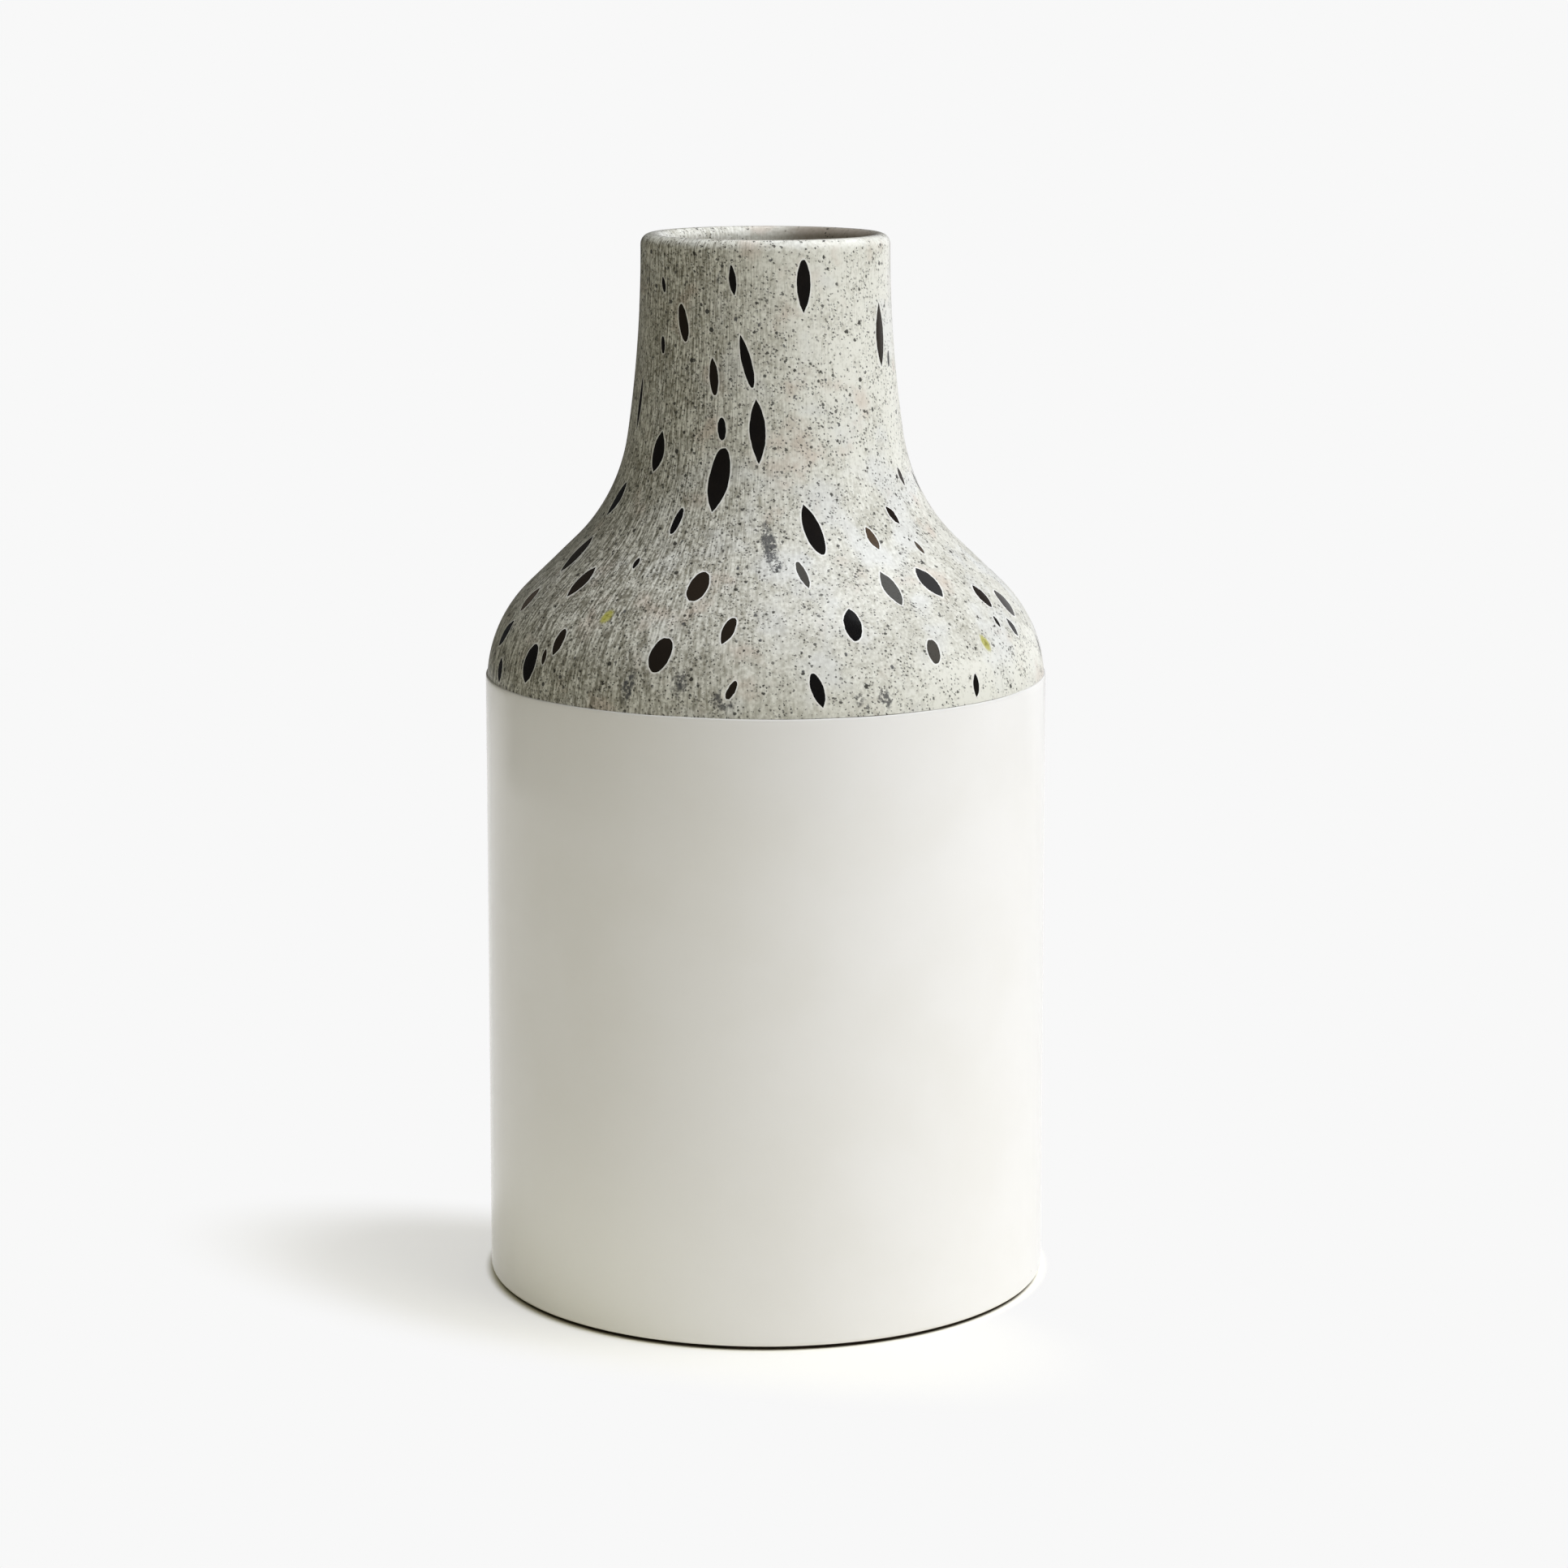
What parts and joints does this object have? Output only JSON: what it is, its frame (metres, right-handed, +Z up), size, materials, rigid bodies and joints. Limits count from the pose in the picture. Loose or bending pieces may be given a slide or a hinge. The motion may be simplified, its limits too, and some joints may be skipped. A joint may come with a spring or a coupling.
{
  "type": "bottle vase",
  "caption": "Bottle-shaped stoneware vase: straight round body, sloping shoulder, narrow open neck for stems, white glaze below and speckled glaze above.",
  "frame": {"origin": "on the table, on the vase's axis, level with the undersides of the foot pads", "axes": "+Z up along the vase's axis, -Y towards the front, +X to the front's right"},
  "size_m": [0.1612, 0.1612, 0.3],
  "materials": {
    "stoneware": "unglazed, matt, fine grained",
    "white_glaze": "glossy, smooth",
    "speckled_glaze": "glossy, fine dark speckle and grey clouding",
    "liner_glaze": "glossy, plain",
    "black_iron": "glossy, near black",
    "grey_iron": "glossy, dark grey to brown",
    "ochre_stain": "glossy, ochre",
    "pad_rubber": "matt, dark"
  },
  "bodies": {
    "root": {"stoneware_body": "stoneware", "white_body_glaze": "white_glaze", "speckled_neck_glaze": "speckled_glaze", "liner_glaze": "liner_glaze", "black_flecks": "black_iron", "grey_flecks": "grey_iron", "ochre_stains": "ochre_stain", "foot_pad_1": "pad_rubber", "foot_pad_2": "pad_rubber", "foot_pad_3": "pad_rubber", "foot_pad_4": "pad_rubber"}
  },
  "joints": []
}
